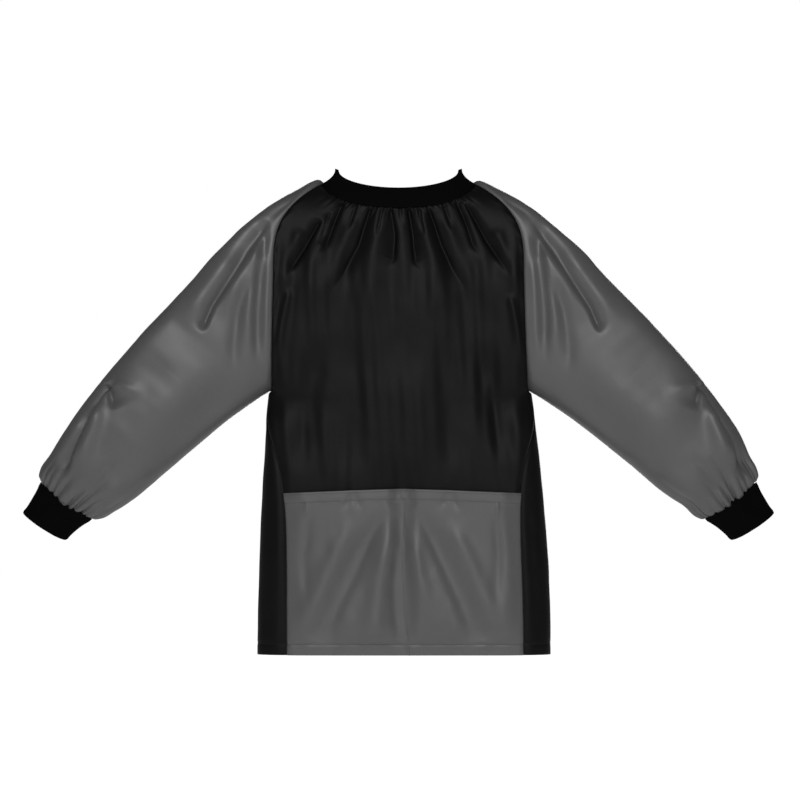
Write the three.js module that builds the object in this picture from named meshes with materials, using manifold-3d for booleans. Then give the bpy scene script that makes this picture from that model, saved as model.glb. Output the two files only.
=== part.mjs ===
// A child's long-sleeved painting smock, closed at the back, in the shape it has when it is worn or hung up.
// Millimetres, +Z up, the front faces -Y. The origin is the middle of the neck opening, level with
// the two neck points where the raglan seams meet the collar.
import * as THREE from 'three';
import { mergeVertices } from 'three/addons/utils/BufferGeometryUtils.js';
import Module from 'manifold-3d';

const wasm = await Module();
wasm.setup();

// ---- materials of the real garment ----
const wovenThick = 1.6;        // woven panel with its folds and seam allowances
const ribThick = 3;            // double layer of rib knit
const tapeThick = 1.2;         // one half of a hook-and-loop tape
const labelThick = 0.6;
const seamGap = 0.5;           // gap between two pieces that are sewn edge to edge
const faceGap = 0.3;           // gap between two pieces that lie face to face
const raglanClear = 2.6;       // a panel's edge, in from the raglan seam where the shoulder turns inwards
const collarClear = 2;         // a flap's neckline, below the collar ends that pass it when it swings

// ---- body ----
const bodyLength = 636;        // neck point to hem
const underarmDrop = 280;      // neck point to underarm
const chestHalf = 177;         // half width at the underarm
const hemHalf = 198;           // half width at the hem
const seamHalfAtHem = 157;     // the side seam lies on the front, this far from the middle
const underarmInset = 5;       // at the underarm the side seam is this far in from the side
const frontDepth = 46;         // front face of the front panel, in front of the neck points
const backDepth = 42;          // outer face of the back
const sideRound = 45;          // how far the back turns in from the side before it is flat

// ---- neck ----
const neckHalf = 102;          // half width of the collar seam
const neckDrop = 31;           // how far the collar seam dips at the front and at the back
const collarTopHalf = 79;      // half width of the collar's upper edge
const collarTopDrop = 24;      // how far the upper edge dips
const collarRise = 17;         // upper edge at the sides, above the neck points
const collarFrontInset = 3;    // collar seam, behind the face of the front panel
const collarBackInset = 5;     // collar seam, in front of the face of the back
const collarTopInset = 5;      // the upper edge leans in by this much, front and back

// ---- sleeves ----
const shoulderInset = 8;       // the raglan seam at the chest is this far in from the side
const shoulderDrop = 120;      // where the raglan seam becomes straight
const shoulderRound = 3.3;     // how quickly it bends down: 1 is a straight line
const sleeveStart = 1;         // the sleeve swings from a plane this far outside the chest's side
const sleeveTopDrop = 35;      // upper edge of the sleeve where it starts
const sleeveHalfDepth = 44;    // where the sleeve starts
const wristHalfDepth = 23;
const cuffHalfDepth = 19;
// ends of the sleeve and the cuff, outwards and downwards from where the sleeve's underside starts
const wristTop = { out: 316, down: 127 };
const wristBottom = { out: 238, down: 179 };
const cuffTop = { out: 330, down: 166 };
const cuffBottom = { out: 272, down: 205 };

// ---- pocket ----
const pocketHeight = 218;      // hem to the pocket's mouth at the sides
const pocketPeak = 6;          // the mouth rises in the middle, where the divider is tacked
const pocketGap = 7;           // how far the pocket stands open from the front panel
const pocketWall = 2;          // sewn edge of the pocket and its middle divider

// ---- back opening ----
const flapTopHalf = 60;        // fold line of a back flap at the neck
const flapHemHalf = 140;       // fold line of a back flap at the hem
const overlap = 25;            // the right flap laps over the left one
const tapeWidth = 20;
const neckTape = { drop: 50, height: 25 };
const waistTape = { drop: 330, height: 50 };
const label = { width: 28, height: 42, x: -34, drop: 42 };

const black = 0x1c1c1c;
const grey = 0x626264;

// ---- outlines, in x and z ----
const mix = (a, b, t) => a + (b - a) * t;
const hemZ = -bodyLength;
const underarmZ = -underarmDrop;

// share of the way from the underarm down to the hem
const within = (t) => Math.min(1, Math.max(0, t));
const sideShare = (z) => within((underarmZ - z) / (bodyLength - underarmDrop));
const silhouette = (z) => mix(chestHalf, hemHalf, Math.sin((sideShare(z) * Math.PI) / 2));
const seamHalfAtChest = chestHalf - underarmInset;
const sideSeam = (z) => mix(seamHalfAtHem, seamHalfAtChest, (1 - sideShare(z)) ** 2.5);
const flapFold = (z) => mix(flapTopHalf, flapHemHalf, -z / bodyLength);

// the raglan seam: a curve from the neck point, then nearly straight down to the underarm
const shoulderHalf = chestHalf - shoulderInset;
function raglan(z) {
  const round = 1 - (1 - within(-z / shoulderDrop)) ** shoulderRound;
  const straight = within((z + shoulderDrop) / (underarmZ + shoulderDrop));
  return mix(neckHalf, shoulderHalf, round) + (seamHalfAtChest - shoulderHalf) * straight;
}

const mirrored = (outline) => outline.map((p) => new THREE.Vector2(-p.x, p.y));
const samples = (count, f) => Array.from({ length: count + 1 }, (_, i) => f(i / count));

// the collar seam between two angles: 0 is the neck point, a quarter turn is the middle
function neckline(fromAngle, toAngle, below, count) {
  return samples(count, (t) => {
    const angle = mix(fromAngle, toAngle, t);
    return new THREE.Vector2(neckHalf * Math.cos(angle), -neckDrop * Math.sin(angle) - below);
  });
}

// ---- solids ----
// A flat panel of that outline. Its front face is at frontY.
function plate(outline, thickness, frontY) {
  const geometry = new THREE.ExtrudeGeometry(new THREE.Shape(outline), { depth: thickness, bevelEnabled: false });
  return geometry.rotateX(Math.PI / 2).translate(0, frontY + thickness, 0);
}

// A curved panel: point(u, v) is its outer surface, and it is as thick as given towards the inside.
// With wraps, u goes all the way round and the panel is a tube with open ends. With level, its inner
// side is straight behind the outer one, so its top and bottom edges are level.
function sheet(point, across, along, thickness, { wraps = false, level = false } = {}) {
  const columns = wraps ? across : across + 1;
  const step = 1e-3;
  const positions = [];
  for (const inside of [false, true]) {
    for (let j = 0; j <= along; j++) {
      for (let i = 0; i < columns; i++) {
        const u = i / across;
        const v = j / along;
        const here = point(u, v);
        if (inside) {
          const du = point(u + step, v).sub(point(u - step, v));
          const dv = point(u, v + step).sub(point(u, v - step));
          const normal = du.cross(dv);
          if (level) {
            normal.z = 0;
          }
          here.addScaledVector(normal.normalize(), -thickness);
        }
        positions.push(here.x, here.y, here.z);
      }
    }
  }
  const index = [];
  const layer = columns * (along + 1);
  const at = (i, j, inside) => (inside ? layer : 0) + j * columns + (i % columns);
  const quad = (a, b, c, d) => index.push(a, b, c, a, c, d);
  for (let i = 0; i < across; i++) {
    for (let j = 0; j < along; j++) {
      quad(at(i, j, false), at(i + 1, j, false), at(i + 1, j + 1, false), at(i, j + 1, false));
      quad(at(i, j, true), at(i, j + 1, true), at(i + 1, j + 1, true), at(i + 1, j, true));
    }
    quad(at(i, 0, true), at(i + 1, 0, true), at(i + 1, 0, false), at(i, 0, false));
    quad(at(i, along, false), at(i + 1, along, false), at(i + 1, along, true), at(i, along, true));
  }
  if (!wraps) {
    for (let j = 0; j < along; j++) {
      quad(at(0, j, false), at(0, j + 1, false), at(0, j + 1, true), at(0, j, true));
      quad(at(across, j, true), at(across, j + 1, true), at(across, j + 1, false), at(across, j, false));
    }
  }
  return new THREE.BufferGeometry()
    .setAttribute('position', new THREE.Float32BufferAttribute(positions, 3))
    .setIndex(index);
}

// The same geometry on the wearer's other side.
function otherSide(geometry) {
  const flipped = geometry.clone().scale(-1, 1, 1);
  const loose = flipped.index ? flipped.toNonIndexed() : flipped;
  const p = loose.getAttribute('position');
  const a = new THREE.Vector3();
  const b = new THREE.Vector3();
  for (let i = 0; i < p.count; i += 3) {
    a.fromBufferAttribute(p, i + 1);
    b.fromBufferAttribute(p, i + 2);
    p.setXYZ(i + 1, b.x, b.y, b.z);
    p.setXYZ(i + 2, a.x, a.y, a.z);
  }
  return loose;
}

function solid(geometry) {
  const bare = geometry.clone();
  bare.deleteAttribute('normal');
  bare.deleteAttribute('uv');
  const merged = mergeVertices(bare, 1e-3);
  return new wasm.Manifold(new wasm.Mesh({
    numProp: 3,
    vertProperties: merged.getAttribute('position').array,
    triVerts: new Uint32Array(merged.index.array),
  }));
}

function shown(manifold) {
  const mesh = manifold.getMesh();
  return new THREE.BufferGeometry()
    .setAttribute('position', new THREE.BufferAttribute(mesh.vertProperties, 3))
    .setIndex(new THREE.BufferAttribute(mesh.triVerts, 1));
}

const smock = new THREE.Group();
function piece(name, geometry, color, roughness) {
  const mesh = new THREE.Mesh(geometry, new THREE.MeshStandardMaterial({ color, roughness, metalness: 0 }));
  mesh.name = name;
  smock.add(mesh);
}
const wovenRoughness = 0.5;
const ribRoughness = 0.95;

// A ring is a rounded oblong at the shoulder and an oval at the wrist. Its points come at these shares
// of the way from its upper to its lower point, and the panels meet the shoulder at the same shares.
const ringSteps = 28;
const shoulderPower = 2.6;
const rounded = (value, power) => Math.sign(value) * Math.abs(value) ** (2 / power);
const ringDrops = samples(ringSteps / 2, (t) => (1 - rounded(Math.cos(t * Math.PI), shoulderPower)) / 2);

// ---- front panel: hem, side seam, raglan seam, neckline ----
const seamSteps = 8;
const neckSteps = 10;
const neckStart = 0.2;         // angle from the neck point at which a panel's neckline starts
const sideOutline = samples(seamSteps, (t) => {
  const z = mix(hemZ, underarmZ, t);
  return new THREE.Vector2(sideSeam(z) - seamGap / 2, z);
});
const raglanInside = ringDrops.map((drop) => {
  const z = underarmZ * (1 - drop);
  const along = new THREE.Vector2(raglan(z + 1) - raglan(z - 1), 2).normalize();
  return new THREE.Vector2(raglan(z) - along.y * raglanClear, z + along.x * raglanClear);
});
const frontHalf = [
  ...sideOutline,
  ...raglanInside.slice(1, -1),
  ...neckline(neckStart, Math.PI / 2, seamGap, neckSteps),
];
const frontOutline = [...frontHalf, ...mirrored(frontHalf).reverse().slice(1)];
piece('front_panel', plate(frontOutline, wovenThick, -frontDepth), black, wovenRoughness);

// ---- pocket: one cloth across the front, sewn at the sides, the hem and the middle, open at the top ----
const pocketMouthZ = hemZ + pocketHeight;
const pocketFrontY = -frontDepth - faceGap - pocketGap - wovenThick;
const pocketHalf = [
  ...samples(seamSteps, (t) => {
    const z = mix(hemZ, pocketMouthZ, t);
    return new THREE.Vector2(sideSeam(z) - seamGap / 2, z);
  }),
  new THREE.Vector2(0, pocketMouthZ + pocketPeak),
];
const pocketOutline = [...pocketHalf, ...mirrored(pocketHalf).reverse().slice(1)];
const compartment = [
  new THREE.Vector2(pocketWall / 2, hemZ + pocketWall),
  ...pocketHalf.slice(0, -1).map((p) => new THREE.Vector2(p.x - pocketWall, Math.max(p.y, hemZ + pocketWall))),
  new THREE.Vector2(pocketHalf[seamSteps].x - pocketWall, pocketMouthZ + 2 * pocketPeak),
  new THREE.Vector2(pocketWall / 2, pocketMouthZ + 2 * pocketPeak),
];
const compartmentDepth = 2 * pocketGap;
const pocketSpace = plate(compartment, compartmentDepth, pocketFrontY + wovenThick);
const pocketBlock = solid(plate(pocketOutline, wovenThick + pocketGap, pocketFrontY));
const pocketPanel = pocketBlock.subtract(solid(pocketSpace)).subtract(solid(otherSide(pocketSpace)));
piece('pocket_panel', shown(pocketPanel), grey, wovenRoughness);

// ---- back panels: flat across the back, turned round the side to the front side seam ----
const backFlatEdge = (z) => silhouette(z) - sideRound;
const foldSteps = 6;
const flatBackOutline = [
  new THREE.Vector2(flapFold(hemZ) + seamGap, hemZ),
  ...samples(seamSteps, (t) => {
    const z = mix(hemZ, underarmZ - seamGap, t);
    return new THREE.Vector2(backFlatEdge(z) + 1, z);
  }),
  ...raglanInside.slice(0, -1),
  ...neckline(neckStart, Math.acos((flapTopHalf + 2 * seamGap) / neckHalf), seamGap, foldSteps),
];
const flatBack = solid(plate(flatBackOutline, wovenThick, backDepth - wovenThick));
const lapStep = 0.3;           // the turned part meets the flat part this much further in
const turnMiddleY = (backDepth - lapStep - frontDepth) / 2;
const turnHalfDepth = (backDepth - lapStep + frontDepth) / 2;
const sideTurn = sheet((u, v) => {
  const z = mix(hemZ, underarmZ - seamGap, v);
  const angle = mix(-Math.PI / 2, Math.PI / 2, u);
  const inner = angle < 0 ? sideSeam(z) + wovenThick : backFlatEdge(z);
  const reach = silhouette(z) - inner;
  return new THREE.Vector3(inner + reach * Math.cos(angle), turnMiddleY + turnHalfDepth * Math.sin(angle), z);
}, 18, seamSteps, wovenThick, { level: true });
const backSide = shown(flatBack.add(solid(sideTurn)));
piece('back_side_right', backSide, black, wovenRoughness);
piece('back_side_left', otherSide(backSide), black, wovenRoughness);

// ---- back flaps: the part of each back panel that swings open, with the closing tapes ----
function flapOutline(pastMiddle) {
  const topAngle = Math.acos((flapTopHalf - seamGap) / neckHalf);
  const edgeAngle = Math.acos(-pastMiddle / neckHalf);
  return [
    new THREE.Vector2(-pastMiddle, hemZ),
    new THREE.Vector2(flapFold(hemZ) - seamGap, hemZ),
    ...neckline(topAngle, edgeAngle, collarClear, foldSteps),
  ];
}
const rightFlapY = backDepth + 3 * faceGap + 2 * tapeThick;
const flap = flapOutline(overlap / 2);
piece('back_flap_right', plate(flap, wovenThick, rightFlapY), black, wovenRoughness);
piece('back_flap_left', otherSide(plate(flap, wovenThick, backDepth - wovenThick)), black, wovenRoughness);

function tapeAt(place, frontY) {
  return new THREE.BoxGeometry(tapeWidth, tapeThick, place.height)
    .translate(0, frontY + tapeThick / 2, -place.drop - place.height / 2);
}
const loopY = backDepth + faceGap;
const hookY = loopY + tapeThick + faceGap;
for (const [where, place] of [['neck', neckTape], ['waist', waistTape]]) {
  piece(`loop_tape_${where}`, tapeAt(place, loopY), black, ribRoughness);
  piece(`hook_tape_${where}`, tapeAt(place, hookY), black, wovenRoughness);
}
const labelPlate = new THREE.BoxGeometry(label.width, labelThick, label.height)
  .translate(label.x, backDepth - wovenThick - faceGap - labelThick / 2, -label.drop - label.height / 2);
piece('care_label', labelPlate, 0xe8e6e0, 0.8);

// ---- collar: a rib band round the neck, in a front part and two ends that swing with the flaps ----
// angle 0 is the right neck point, a quarter turn the front middle, minus a quarter turn the back middle
function collarBand(fromAngle, toAngle, across, backOffset) {
  return sheet((u, v) => {
    const angle = mix(fromAngle, toAngle, u);
    const atBack = Math.max(0, -Math.sin(angle));
    const depth = Math.sin(angle) > 0 ? frontDepth - collarFrontInset : backDepth - collarBackInset;
    return new THREE.Vector3(
      mix(neckHalf, collarTopHalf, v) * Math.cos(angle),
      -(depth - collarTopInset * v) * Math.sin(angle) + backOffset * atBack,
      mix(0, collarRise, v) - mix(neckDrop, collarTopDrop, v) * Math.abs(Math.sin(angle)),
    );
  }, across, 3, ribThick);
}
const foldAngle = Math.acos(flapTopHalf / neckHalf);
const collarGap = seamGap / neckHalf;
const overlapAngle = overlap / 2 / neckHalf;
piece('collar_front', collarBand(Math.PI + foldAngle, -foldAngle, 40, 0), black, ribRoughness);
const rightEnd = collarBand(-foldAngle - collarGap, -Math.PI / 2 - overlapAngle, 8, ribThick + 2 * seamGap);
const leftEnd = collarBand(-foldAngle - collarGap, -Math.PI / 2 - overlapAngle, 8, 0);
piece('collar_back_right', rightEnd, black, ribRoughness);
piece('collar_back_left', otherSide(leftEnd), black, ribRoughness);

// ---- shoulders and sleeves ----
// A point on the ring between an upper and a lower point, a share of the way round.
function ringPoint(share, upper, lower, depth, power) {
  const angle = share * 2 * Math.PI;
  const up = (1 + rounded(Math.cos(angle), power)) / 2;
  const forward = rounded(Math.sin(angle), power);
  return new THREE.Vector3(mix(lower.x, upper.x, up), depth.middle - depth.half * forward, mix(lower.y, upper.y, up));
}

// the ring is as deep as the body at the raglan seam, has its own depth where the sleeve starts,
// and closes in on the wrist
const seamDepth = { middle: (backDepth - frontDepth) / 2, half: (backDepth + frontDepth) / 2 };
const startDepth = { middle: seamDepth.middle, half: sleeveHalfDepth };
function depthAt(share, endHalf) {
  return { middle: mix(startDepth.middle, 0, share), half: mix(startDepth.half, endHalf, share) };
}

const sleevePlane = chestHalf + sleeveStart;
const fromUnderarm = (end) => new THREE.Vector2(sleevePlane + end.out, underarmZ - end.down);
const sleeveLength = Math.hypot(wristTop.out, underarmDrop - sleeveTopDrop + wristTop.down);
const upperEdge = new THREE.CubicBezierCurve(
  new THREE.Vector2(sleevePlane, -sleeveTopDrop),
  new THREE.Vector2(sleevePlane + 0.26 * sleeveLength, -sleeveTopDrop - 0.26 * sleeveLength),
  fromUnderarm(wristTop).add(new THREE.Vector2(-0.13 * sleeveLength, 0.28 * sleeveLength)),
  fromUnderarm(wristTop),
);
const lowerEdge = new THREE.LineCurve(
  new THREE.Vector2(sleevePlane, underarmZ),
  fromUnderarm(wristBottom),
);
const sleeve = sheet((u, v) => ringPoint(
  u,
  upperEdge.getPoint(v),
  lowerEdge.getPoint(v),
  depthAt(within(v) ** 1.6, wristHalfDepth),
  mix(shoulderPower, 2, v),
), ringSteps, 12, wovenThick, { wraps: true });
piece('sleeve_right', sleeve, grey, wovenRoughness);
piece('sleeve_left', otherSide(sleeve), grey, wovenRoughness);

// the part of the raglan sleeve between its seam and the plane that the sleeve swings from
const shoulderEnd = sleevePlane - wovenThick - seamGap;
const shoulder = sheet((u, v) => {
  const plane = ringPoint(
    u,
    new THREE.Vector2(shoulderEnd, -sleeveTopDrop),
    new THREE.Vector2(shoulderEnd, underarmZ),
    startDepth,
    shoulderPower,
  );
  const drop = (plane.z + sleeveTopDrop) / (underarmZ + sleeveTopDrop);
  const seamZ = underarmZ * within(drop);
  const seamY = seamDepth.middle + (plane.y - startDepth.middle) * (seamDepth.half / startDepth.half);
  const seamPoint = new THREE.Vector3(raglan(seamZ) + seamGap, seamY, seamZ);
  return seamPoint.lerp(plane, v);
}, ringSteps, 3, wovenThick, { wraps: true });
piece('shoulder_right', shoulder, grey, wovenRoughness);
piece('shoulder_left', otherSide(shoulder), grey, wovenRoughness);

// ---- cuffs ----
const cuffSeamShare = 0.02;    // the cuff starts this share of its length past the sleeve's end
const cuff = sheet((u, v) => {
  const along = mix(cuffSeamShare, 1, v);
  return ringPoint(
    u,
    fromUnderarm(wristTop).lerp(fromUnderarm(cuffTop), along),
    fromUnderarm(wristBottom).lerp(fromUnderarm(cuffBottom), along),
    { middle: 0, half: mix(wristHalfDepth, cuffHalfDepth, along) },
    2,
  );
}, ringSteps, 3, ribThick, { wraps: true });
piece('cuff_right', cuff, black, ribRoughness);
piece('cuff_left', otherSide(cuff), black, ribRoughness);

export default smock;
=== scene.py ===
import bpy
import math
import numpy as np
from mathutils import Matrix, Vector


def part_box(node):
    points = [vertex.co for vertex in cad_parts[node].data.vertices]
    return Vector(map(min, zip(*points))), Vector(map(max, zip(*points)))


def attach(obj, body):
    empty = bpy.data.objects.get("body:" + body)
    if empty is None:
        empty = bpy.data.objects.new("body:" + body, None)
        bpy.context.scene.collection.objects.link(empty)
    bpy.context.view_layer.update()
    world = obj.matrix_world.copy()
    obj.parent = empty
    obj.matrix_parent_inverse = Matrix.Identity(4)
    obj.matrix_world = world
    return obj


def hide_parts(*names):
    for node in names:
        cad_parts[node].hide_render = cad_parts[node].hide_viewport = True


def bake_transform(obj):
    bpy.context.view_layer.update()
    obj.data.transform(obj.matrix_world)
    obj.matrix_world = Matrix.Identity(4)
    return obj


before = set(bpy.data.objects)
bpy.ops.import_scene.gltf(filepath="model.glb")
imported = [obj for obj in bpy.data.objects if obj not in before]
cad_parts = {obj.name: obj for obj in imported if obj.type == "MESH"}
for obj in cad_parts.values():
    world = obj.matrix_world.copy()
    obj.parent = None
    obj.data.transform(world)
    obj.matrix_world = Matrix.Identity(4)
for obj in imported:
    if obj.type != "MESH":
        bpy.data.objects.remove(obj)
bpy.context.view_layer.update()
print("frame loaded:", len(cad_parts), "nodes")

sides = [(True, "Right", "right"), (False, "Left", "left")]


def addObject(name, data):
    made = bpy.data.objects.new(name, data)
    bpy.context.collection.objects.link(made)
    return made


view = {"distance": 7.0, "width": 1.081, "centreX": 0.002, "centreZ": -0.293}

cameraData = bpy.data.cameras.new("frontCamera")
cameraData.sensor_width = 36
cameraData.lens = cameraData.sensor_width * view["distance"] / view["width"]
camera = addObject("frontCamera", cameraData)
camera.location = (view["centreX"], -view["distance"], view["centreZ"])
camera.rotation_euler = (math.radians(90), 0, 0)
bpy.context.scene.camera = camera

# the body's sizes, read from the frame
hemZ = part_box("front_panel")[0].z
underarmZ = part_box("shoulder_right")[0].z
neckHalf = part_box("collar_front")[1].x
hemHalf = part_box("back_side_right")[1].x
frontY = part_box("front_panel")[0].y
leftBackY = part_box("back_flap_left")[1].y
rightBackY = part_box("back_flap_right")[0].y + 0.0008   # the cloth's outer face, just over the tapes
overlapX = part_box("back_flap_left")[1].x
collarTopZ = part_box("collar_front")[1].z
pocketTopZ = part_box("pocket_panel")[1].z

body = {
    "chestHalf": 0.177,       # half width at the underarm
    "seamStart": 0.04,        # share of the side over which the seam stays at the very side
    "seamTurn": 0.105,        # how soon below that it comes round to the front
    "seamReach": 0.83,        # how far round it lies in the end
    "shoulderHalf": 0.169,    # raglan seam at the chest
    "seamHalfAtChest": 0.173, # raglan seam at the underarm
    "shoulderDrop": 0.120,
    "shoulderRound": 3.3,
    "neckDrop": 0.031,
    "collarDepth": 0.043,
    "belly": 0.004,           # how much the front bulges between neck and hem
    "sectionPower": 3.4,      # how square the body's section is
    "ringPower": 2.6,         # how square the armhole is
    "drift": 0.009,           # the hem hangs this far to one side
    "cloth": 0.0008,          # thickness of the woven cloth
}


def mix(a, b, t):
    return a + (b - a) * t


def smooth(a, b, x):
    t = np.clip((x - a) / (b - a), 0, 1)
    return t * t * (3 - 2 * t)


def sideShare(z):
    return np.clip((underarmZ - z) / (underarmZ - hemZ), 0, 1)


def bodyHalf(z):
    return mix(body["chestHalf"], hemHalf, np.sin(sideShare(z) ** 0.85 * math.pi / 2))


def seamDepth(z):
    # how far forward of the very side the side seam lies, as a share of the body's depth
    below = np.clip(sideShare(z) - body["seamStart"], 0, 1)
    below = below * below / (below + 0.015)
    return body["seamReach"] * (1 - np.exp(-below / body["seamTurn"]))


def sideSeamX(z):
    return bodyHalf(z) * oval(seamDepth(z), body["sectionPower"])


def raglanX(z):
    turn = 1 - (1 - np.clip(-z / body["shoulderDrop"], 0, 1)) ** body["shoulderRound"]
    straight = np.clip((z + body["shoulderDrop"]) / (underarmZ + body["shoulderDrop"]), 0, 1)
    reach = (body["seamHalfAtChest"] - body["shoulderHalf"]) * straight
    return mix(neckHalf, body["shoulderHalf"], turn) + reach


def oval(x, power):
    return (1 - np.clip(np.abs(x), 0, 1) ** power) ** (1 / power)


def armholeDepth(z):
    return oval(2 * np.clip(z / underarmZ, 0, 1) - 1, body["ringPower"])


def hemDrift(z):
    return body["drift"] * smooth(-0.16, hemZ, z)


# cloth tools
def gridNormals(points, closed=False):
    if closed:
        across = np.roll(points, -1, 0) - np.roll(points, 1, 0)
    else:
        across = np.gradient(points, axis=0)
    along = np.gradient(points, axis=1)
    normal = np.cross(across, along)
    return normal / np.maximum(np.linalg.norm(normal, axis=2, keepdims=True), 1e-12)


def lengthsAcross(points):
    step = np.linalg.norm(np.diff(points, axis=0), axis=2)
    return np.concatenate([np.zeros((1, points.shape[1])), np.cumsum(step, 0)], 0)


def lengthsAlong(points):
    step = np.linalg.norm(np.diff(points, axis=1), axis=2)
    return np.concatenate([np.zeros((points.shape[0], 1)), np.cumsum(step, 1)], 1)


def stroke(x, z, path, width, height, skew=0.0, fadeIn=0.15, fadeOut=0.35, power=2.0):
    # one fold: a ridge (height above 0) or valley along a path in the front view;
    # a low power makes it sharp, and skew makes one of its sides steeper than the other
    path = np.array(path, float)
    runs = np.linalg.norm(np.diff(path, axis=0), axis=1)
    total = runs.sum()
    best = np.full(x.shape, 1e9)
    share = np.zeros(x.shape)
    sign = np.zeros(x.shape)
    done = 0.0
    for a, b, run in zip(path[:-1], path[1:], runs):
        dx, dz = (b - a) / run
        t = np.clip((x - a[0]) * dx + (z - a[1]) * dz, 0, run)
        away = np.hypot(x - a[0] - dx * t, z - a[1] - dz * t)
        closer = away < best
        best = np.where(closer, away, best)
        share = np.where(closer, (done + t) / total, share)
        sign = np.where(closer, np.sign((x - a[0]) * dz - (z - a[1]) * dx), sign)
        done += run
    first, last = width
    wide = mix(first, last, share)
    fade = smooth(0, fadeIn, share) * (1 - smooth(1 - fadeOut, 1, share))
    soft = np.hypot(best, 0.0006) / (wide * (1 + skew * sign))
    return height * fade * np.exp(-soft ** power)


def allFolds(x, z, folds):
    # each fold gives its path, width at both ends and height, then skew, fades and power where they differ
    total = np.zeros(x.shape)
    for fold in folds:
        total += stroke(x, z, *fold)
    return total


def waves(x, z, seed, size, stretch=1.0, turn=0.0):
    # soft uneven ripple of about that size, longer along one direction
    draw = np.random.default_rng(seed)
    count = 14
    c, s = math.cos(turn), math.sin(turn)
    a = (x * c + z * s) / size
    b = (-x * s + z * c) / (size * stretch)
    total = np.zeros(x.shape)
    for _ in range(count):
        angle = draw.uniform(0, 2 * math.pi)
        rate = draw.uniform(0.6, 1.5) * 2 * math.pi
        total += np.sin((a * math.cos(angle) + b * math.sin(angle)) * rate + draw.uniform(0, 6.28))
    return total / math.sqrt(count)


def clothMesh(name, points, thickness, closed=False, inner=None):
    # a sheet of cloth from a grid of points on its outer face, with its inner face and closed edges
    if inner is None:
        inner = points - gridNormals(points, closed) * thickness
    nu, nv = points.shape[:2]
    verts = np.concatenate([points.reshape(-1, 3), inner.reshape(-1, 3)])
    index = np.arange(nu * nv).reshape(nu, nv)
    if closed:
        a = index
        b = np.roll(index, -1, 0)
    else:
        a, b = index[:-1], index[1:]
    outerFaces = np.stack([a[:, :-1], b[:, :-1], b[:, 1:], a[:, 1:]], -1).reshape(-1, 4)
    back = nu * nv
    innerFaces = outerFaces[:, ::-1] + back
    rims = []

    def rim(line):
        rims.append(np.stack([line[1:], line[:-1], line[:-1] + back, line[1:] + back], -1))

    ring = np.concatenate([index, index[:1]], 0) if closed else index
    rim(ring[:, 0])
    rim(ring[::-1, -1])
    if not closed:
        rim(index[0, ::-1])
        rim(index[-1])
    faces = np.concatenate([outerFaces, innerFaces] + rims)
    mesh = bpy.data.meshes.new(name)
    mesh.vertices.add(len(verts))
    mesh.vertices.foreach_set("co", verts.astype(np.float32).ravel())
    mesh.loops.add(faces.size)
    mesh.loops.foreach_set("vertex_index", faces.astype(np.int32).ravel())
    mesh.polygons.add(len(faces))
    mesh.polygons.foreach_set("loop_start", np.arange(0, faces.size, 4, dtype=np.int32))
    mesh.polygons.foreach_set("loop_total", np.full(len(faces), 4, dtype=np.int32))
    mesh.update(calc_edges=True)
    mesh.validate()
    # the cloth's own flat coordinates, in metres
    across = lengthsAcross(points)
    across = across - across[nu // 2:nu // 2 + 1]
    along = lengthsAlong(points)
    flat = np.stack([across, along], -1).reshape(-1, 2)
    flat = np.concatenate([flat, flat])
    layer = mesh.uv_layers.new(name="cloth")
    loopVerts = np.zeros(len(mesh.loops), np.int32)
    mesh.loops.foreach_get("vertex_index", loopVerts)
    layer.data.foreach_set("uv", flat[loopVerts].astype(np.float32).ravel())
    mesh.polygons.foreach_set("use_smooth", np.ones(len(mesh.polygons), bool))
    return addObject(name, mesh)


def evenWithEnds(count, share):
    # from 0 to 1, closer together at the ends
    t = np.linspace(0, 1, count)
    return mix(t, (1 - np.cos(t * math.pi)) / 2, share)


def coons(bottom, top, left, right, u, v):
    # a patch between four curves: bottom and top run along u, left and right along v
    u, v = u[:, None, None], v[None, :, None]
    bottom, top = bottom[:, None], top[:, None]
    left, right = left[None], right[None]
    ruled = (1 - v) * bottom + v * top + (1 - u) * left + u * right
    corners = (1 - u) * (1 - v) * bottom[:1] + u * (1 - v) * bottom[-1:]
    corners = corners + (1 - u) * v * top[:1] + u * v * top[-1:]
    return ruled - corners


def seamDip(distance, depth=0.0016, reach=0.0035):
    return -depth * np.exp(-(distance / reach) ** 2)


def lift(points, height, fromSeam, closed=False):
    # moves the cloth out by height; at a seam both cloths move along one direction, so that they still meet
    normal = gridNormals(points, closed)
    edge = points * np.array([1 / 0.36, 1 / -frontY, 0])
    edge /= np.maximum(np.linalg.norm(edge, axis=2, keepdims=True), 1e-9)
    share = smooth(0, 0.007, fromSeam)[..., None]
    direction = mix(edge, normal, share)
    direction /= np.maximum(np.linalg.norm(direction, axis=2, keepdims=True), 1e-9)
    return points + direction * height[..., None]


# front panel
front = {
    "columns": 280,
    "gathers": 36,            # small pleats where the cloth is gathered into the collar
    "gatherDepth": 0.0026,
    "gatherReach": 0.016,
    "hem": 0.015,             # depth of the turned hem
    "pucker": 0.0005,         # height of the puckers along the side seams
    "hang": 0.0017,           # height of the long soft folds
    "crumple": 0.00012,       # height of the finest unevenness
    # rows lie close together near the collar and far apart behind the pocket: up to a height, and how many
    "rows": [(-0.44, 16), (-0.16, 60), (0, 96)],
}


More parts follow.
